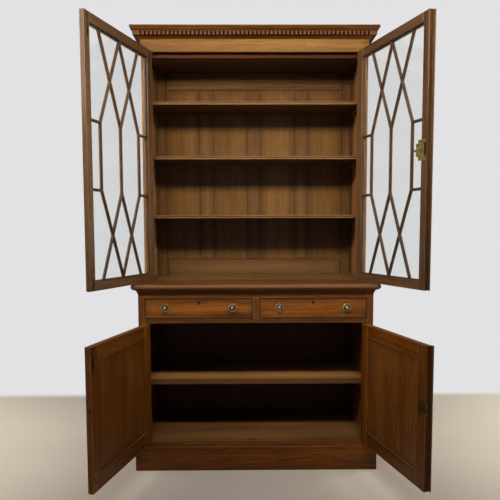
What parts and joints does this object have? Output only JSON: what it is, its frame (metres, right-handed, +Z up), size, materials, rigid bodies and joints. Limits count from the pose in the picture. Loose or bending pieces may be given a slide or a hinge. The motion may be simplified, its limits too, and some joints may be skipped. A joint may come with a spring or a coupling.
{
  "type": "glazed bookcase",
  "caption": "Tall wooden bookcase: shallow glazed upper case with latticed doors on a deeper panelled cupboard base with drawers.",
  "frame": {"origin": "centre of the base's footprint, on the floor under the plinth bearer", "axes": "+X to the right seen from the front, +Y to the back, +Z up"},
  "size_m": [1.4516, 1.0104, 2.2],
  "materials": {
    "polished_mahogany": "french polished",
    "plain_mahogany": "waxed",
    "aged_brass": "aged satin",
    "window_glass": "clear"
  },
  "bodies": {
    "carcase": {"base_side_left": "polished_mahogany", "base_side_right": "polished_mahogany", "base_floor": "plain_mahogany", "base_front_rails": "polished_mahogany", "base_bearers": "plain_mahogany", "base_shelf": "plain_mahogany", "base_back": "plain_mahogany", "plinth": "polished_mahogany", "waist_board": "polished_mahogany", "waist_moulding": "polished_mahogany", "upper_side_left": "polished_mahogany", "upper_side_right": "polished_mahogany", "upper_floor": "plain_mahogany", "upper_top": "plain_mahogany", "frieze": "polished_mahogany", "cornice": "polished_mahogany", "dentils": "polished_mahogany", "back_frame": "plain_mahogany", "back_panels": "plain_mahogany", "shelf_racks": "plain_mahogany", "shelf_battens": "plain_mahogany", "lowest_shelf": "plain_mahogany", "middle_shelf": "plain_mahogany", "highest_shelf": "plain_mahogany", "case_hinge_leaves": "aged_brass", "bolt_keepers": "aged_brass"},
    "upper_left_door": {"upper_left_door_frame": "polished_mahogany", "upper_left_door_bars": "polished_mahogany", "upper_left_door_glass": "window_glass", "upper_left_door_hinges": "aged_brass", "upper_left_door_bolt_plates": "aged_brass"},
    "upper_right_door": {"upper_right_door_frame": "polished_mahogany", "upper_right_door_bars": "polished_mahogany", "upper_right_door_glass": "window_glass", "upper_right_door_hinges": "aged_brass", "upper_right_door_bead": "polished_mahogany", "upper_right_door_latch_case": "aged_brass"},
    "lower_left_door": {"lower_left_door_frame": "polished_mahogany", "lower_left_door_panel": "polished_mahogany", "lower_left_door_hinges": "aged_brass", "lower_left_door_bolt_plates": "aged_brass"},
    "lower_right_door": {"lower_right_door_frame": "polished_mahogany", "lower_right_door_panel": "polished_mahogany", "lower_right_door_hinges": "aged_brass", "lower_right_door_bead": "polished_mahogany", "lower_right_door_lock": "aged_brass"},
    "left_drawer": {"left_drawer_front": "polished_mahogany", "left_drawer_box": "plain_mahogany", "left_drawer_fittings": "aged_brass"},
    "right_drawer": {"right_drawer_front": "polished_mahogany", "right_drawer_box": "plain_mahogany", "right_drawer_fittings": "aged_brass"},
    "upper_left_top_bolt": {"upper_left_door_top_bolt": "aged_brass"},
    "upper_left_bottom_bolt": {"upper_left_door_bottom_bolt": "aged_brass"},
    "lower_left_top_bolt": {"lower_left_door_top_bolt": "aged_brass"},
    "lower_left_bottom_bolt": {"lower_left_door_bottom_bolt": "aged_brass"},
    "upper_right_latch": {"upper_right_door_latch": "aged_brass"},
    "lower_right_lock_bolt": {"lower_right_door_lock_bolt": "aged_brass"},
    "left_drawer_lock_bolt": {"left_drawer_lock_bolt": "aged_brass"},
    "right_drawer_lock_bolt": {"right_drawer_lock_bolt": "aged_brass"}
  },
  "joints": [
    {"name": "upper_left_door_hinge", "type": "hinge", "parent": "carcase", "child": "upper_left_door", "pos_m": [-0.5405, -0.0685, 0], "axis": [0, 0, -1], "range_deg": [-110.15, 61.85]},
    {"name": "upper_right_door_hinge", "type": "hinge", "parent": "carcase", "child": "upper_right_door", "pos_m": [0.5405, -0.0685, 0], "axis": [0, 0, 1], "range_deg": [-110.15, 61.85]},
    {"name": "lower_left_door_hinge", "type": "hinge", "parent": "carcase", "child": "lower_left_door", "pos_m": [-0.5445, -0.2405, 0], "axis": [0, 0, -1], "range_deg": [-104.5, 67.5]},
    {"name": "lower_right_door_hinge", "type": "hinge", "parent": "carcase", "child": "lower_right_door", "pos_m": [0.5445, -0.2405, 0], "axis": [0, 0, 1], "range_deg": [-104.5, 67.5]},
    {"name": "left_drawer_slide", "type": "slide", "parent": "carcase", "child": "left_drawer", "axis": [0, -1, 0], "range_m": [0, 0.3]},
    {"name": "right_drawer_slide", "type": "slide", "parent": "carcase", "child": "right_drawer", "axis": [0, -1, 0], "range_m": [0, 0.3]},
    {"name": "upper_left_top_bolt_slide", "type": "slide", "parent": "upper_left_door", "child": "upper_left_top_bolt", "axis": [0, 0, 1], "range_m": [0, 0.012]},
    {"name": "upper_left_bottom_bolt_slide", "type": "slide", "parent": "upper_left_door", "child": "upper_left_bottom_bolt", "axis": [0, 0, -1], "range_m": [0, 0.012]},
    {"name": "lower_left_top_bolt_slide", "type": "slide", "parent": "lower_left_door", "child": "lower_left_top_bolt", "axis": [0, 0, 1], "range_m": [0, 0.012]},
    {"name": "lower_left_bottom_bolt_slide", "type": "slide", "parent": "lower_left_door", "child": "lower_left_bottom_bolt", "axis": [0, 0, -1], "range_m": [0, 0.012]},
    {"name": "upper_right_latch_slide", "type": "slide", "parent": "upper_right_door", "child": "upper_right_latch", "axis": [0.3445, -0.9388, 0], "range_m": [0, 0.007]},
    {"name": "lower_right_lock_bolt_slide", "type": "slide", "parent": "lower_right_door", "child": "lower_right_lock_bolt", "axis": [0.2504, -0.9681, 0], "range_m": [0, 0.007]},
    {"name": "left_drawer_lock_bolt_slide", "type": "slide", "parent": "left_drawer", "child": "left_drawer_lock_bolt", "axis": [0, 0, 1], "range_m": [0, 0.007]},
    {"name": "right_drawer_lock_bolt_slide", "type": "slide", "parent": "right_drawer", "child": "right_drawer_lock_bolt", "axis": [0, 0, 1], "range_m": [0, 0.007]}
  ]
}
